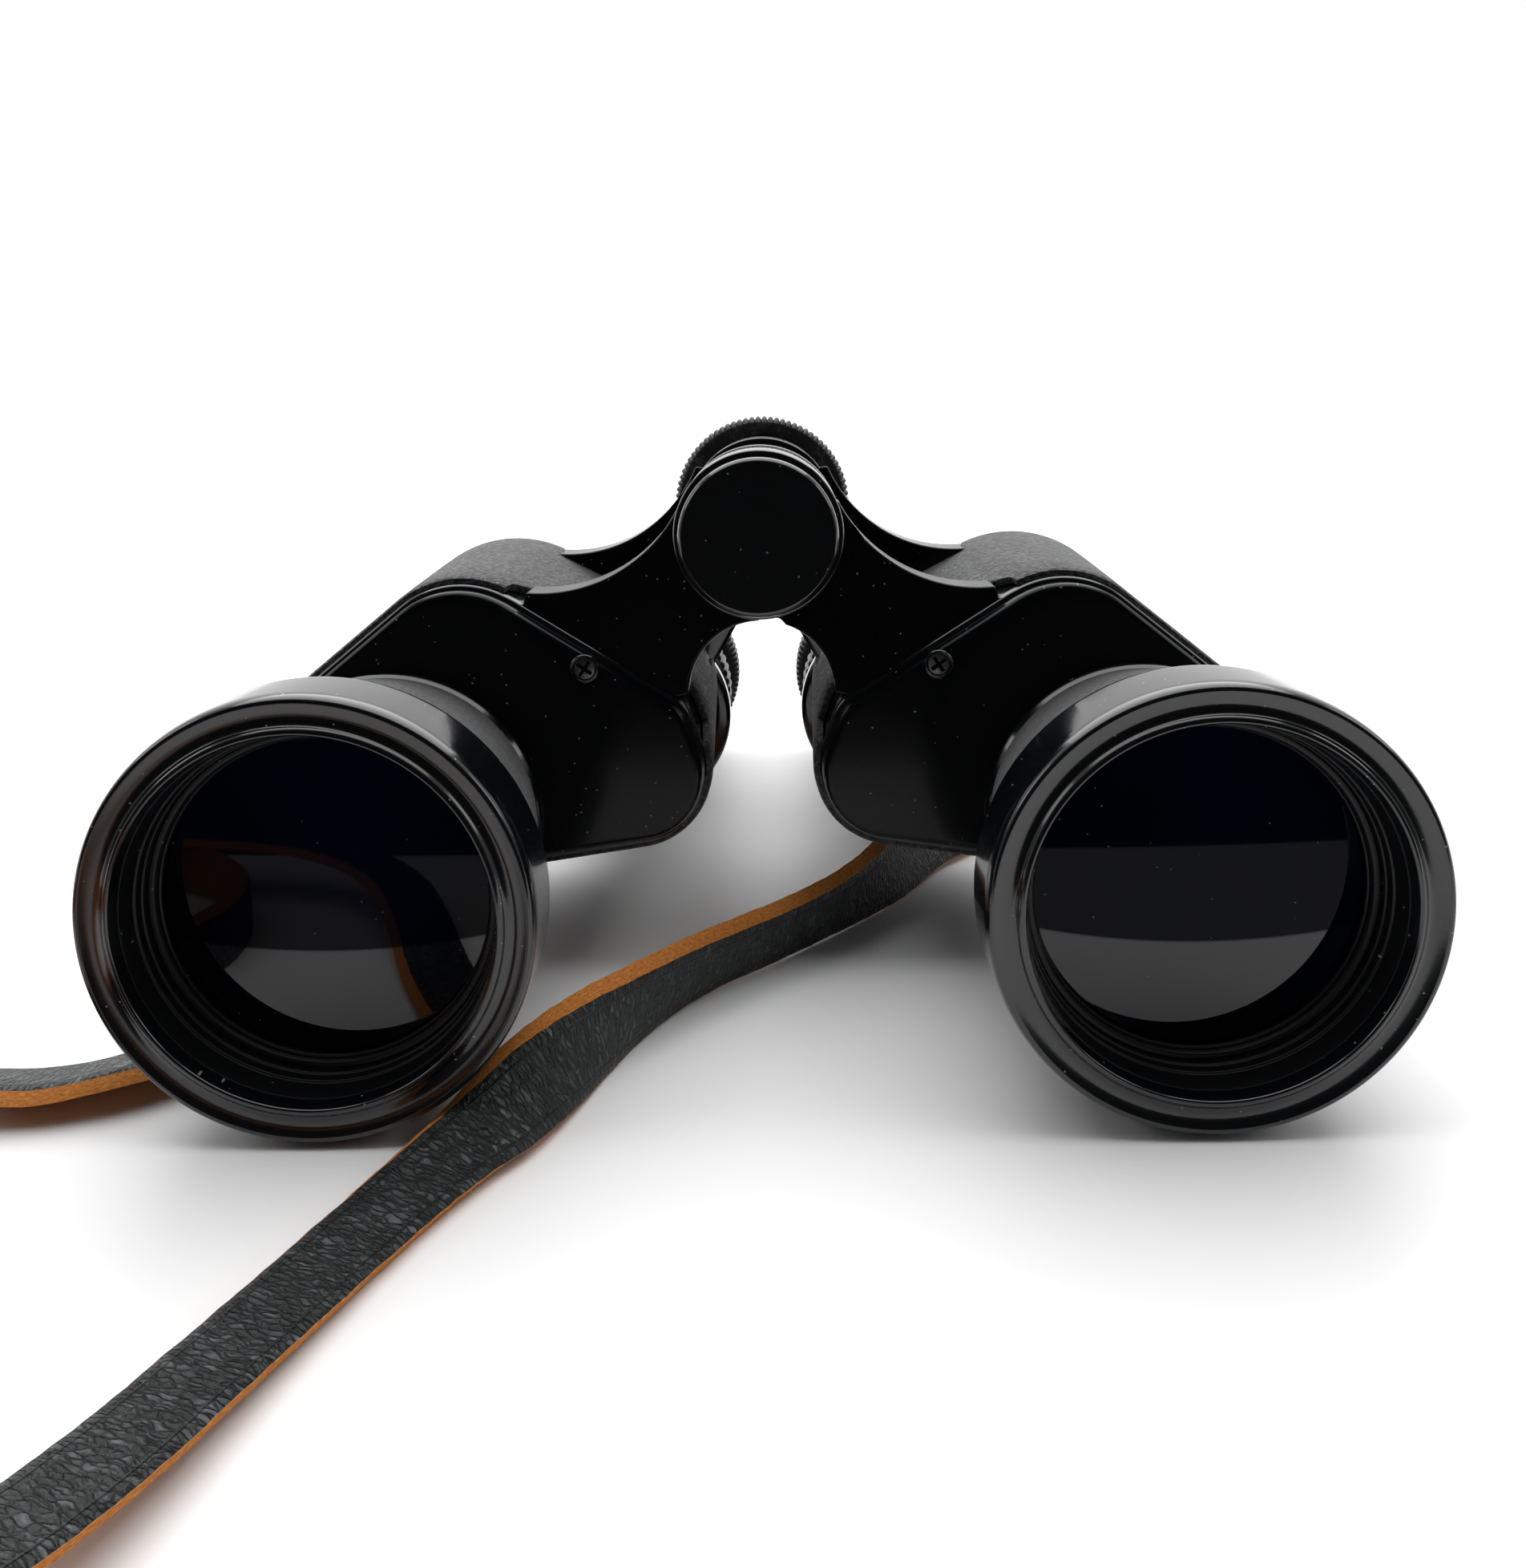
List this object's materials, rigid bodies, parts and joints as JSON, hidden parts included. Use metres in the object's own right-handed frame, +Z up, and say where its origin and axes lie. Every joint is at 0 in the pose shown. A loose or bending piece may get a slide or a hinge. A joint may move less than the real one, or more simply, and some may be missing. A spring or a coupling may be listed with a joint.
{
  "type": "binoculars",
  "caption": "Black prism binoculars with a hinged pair of barrels, pebbled covering, a centre focusing wheel, a dioptre ring and a leather neck strap.",
  "frame": {"origin": "centre of the underside of the binoculars' bounding box, on the surface they stand on, without the strap", "axes": "+X to the user's right when looking from the objectives towards the eyepieces, +Y from the objectives to the eyecups, +Z up; the optical axes lean back by 4.3 degrees"},
  "size_m": [0.3267, 0.2757, 0.0922],
  "materials": {
    "black_enamel": "glossy black enamel over die-cast light alloy, faintly blue, with dust and fine wear on the edges",
    "black_anodised": "satin black over light alloy, worn brighter on the grips",
    "pebbled_covering": "fine pebbled black covering with a soft grey sheen",
    "optical_glass": "polished lens glass with a bluish coating",
    "screw_steel": "blackened steel screw, bare at the slot",
    "brass": "turned brass",
    "eyecup_resin": "black moulded resin, semi-matte",
    "strap_leather": "charcoal grained leather with cross creases and raw orange-brown cut edges"
  },
  "bodies": {
    "left_half": {"left_prism_housing": "black_enamel", "left_housing_leatherette": "pebbled_covering", "left_front_cover": "black_enamel", "left_rear_cover": "black_enamel", "left_cover_screw": "screw_steel", "left_objective_tube": "black_enamel", "left_tube_leatherette": "pebbled_covering", "left_objective_hood": "black_enamel", "left_objective_cell": "black_anodised", "left_objective_retaining_ring": "black_anodised", "left_objective_lens": "optical_glass", "left_rear_prism": "optical_glass", "left_front_prism": "optical_glass", "left_prism_seat": "black_anodised", "left_eyepiece_guide": "black_enamel", "left_strap_lug": "black_enamel", "left_strap_end": "strap_leather", "hinge_cap": "black_enamel", "hinge_axle": "brass", "hinge_sleeve": "black_enamel", "strap_left_run": "strap_leather", "strap_front_run": "strap_leather", "strap_edge_run": "strap_leather", "strap_back_run": "strap_leather", "strap_coil": "strap_leather"},
    "right_half": {"right_prism_housing": "black_enamel", "right_housing_leatherette": "pebbled_covering", "right_front_cover": "black_enamel", "right_rear_cover": "black_enamel", "right_cover_screw": "screw_steel", "right_objective_tube": "black_enamel", "right_tube_leatherette": "pebbled_covering", "right_objective_hood": "black_enamel", "right_objective_cell": "black_anodised", "right_objective_retaining_ring": "black_anodised", "right_objective_lens": "optical_glass", "right_rear_prism": "optical_glass", "right_front_prism": "optical_glass", "right_prism_seat": "black_anodised", "right_eyepiece_guide": "black_enamel", "right_strap_lug": "black_enamel", "right_strap_end": "strap_leather"},
    "focus_wheel": {"focus_wheel": "black_anodised"},
    "left_eyepiece": {"left_bridge_arm": "black_enamel", "left_eyepiece_barrel": "black_anodised", "left_barrel_ring": "black_anodised", "left_ocular_cell": "black_anodised", "left_field_lens": "optical_glass", "left_eye_lens": "optical_glass", "left_eyecup": "eyecup_resin", "focus_spindle": "brass", "bridge_screw": "screw_steel"},
    "right_eyepiece": {"right_bridge_arm": "black_enamel", "right_eyepiece_barrel": "black_anodised"},
    "dioptre_ring": {"right_dioptre_ring": "black_anodised"},
    "right_ocular": {"right_ocular_cell": "black_anodised", "right_field_lens": "optical_glass", "right_eye_lens": "optical_glass", "right_eyecup": "eyecup_resin"}
  },
  "joints": [
    {"name": "interpupillary_hinge", "type": "hinge", "parent": "left_half", "child": "right_half", "pos_m": [0, -0.01992, 0.07694], "axis": [0, -0.9972, 0.0752], "range_deg": [0, 25]},
    {"name": "focus_wheel_turn", "type": "hinge", "parent": "left_half", "child": "focus_wheel", "pos_m": [0, 0.01672, 0.07417], "axis": [0, 0.9972, -0.0752], "range_deg": [-180, 270]},
    {"name": "left_eyepiece_slide", "type": "slide", "parent": "left_half", "child": "left_eyepiece", "axis": [0, 0.9972, -0.0752], "range_m": [-0.0035, 0.00525]},
    {"name": "right_eyepiece_slide", "type": "slide", "parent": "right_half", "child": "right_eyepiece", "axis": [0, 0.9972, -0.0752], "range_m": [-0.0035, 0.00525]},
    {"name": "dioptre_turn", "type": "hinge", "parent": "right_eyepiece", "child": "dioptre_ring", "pos_m": [0.0276, 0.04592, 0.02584], "axis": [0, 0.9972, -0.0752], "range_deg": [-90, 90]},
    {"name": "dioptre_slide", "type": "slide", "parent": "right_eyepiece", "child": "right_ocular", "axis": [0, 0.9972, -0.0752], "range_m": [-0.0015, 0.0015]}
  ],
  "couplings": [
    {"joint": "focus_wheel_turn", "follows": "left_eyepiece_slide", "rad_per_m": 897.6},
    {"joint": "right_eyepiece_slide", "follows": "left_eyepiece_slide", "ratio": 1},
    {"joint": "dioptre_turn", "follows": "dioptre_slide", "rad_per_m": 1047.2}
  ]
}
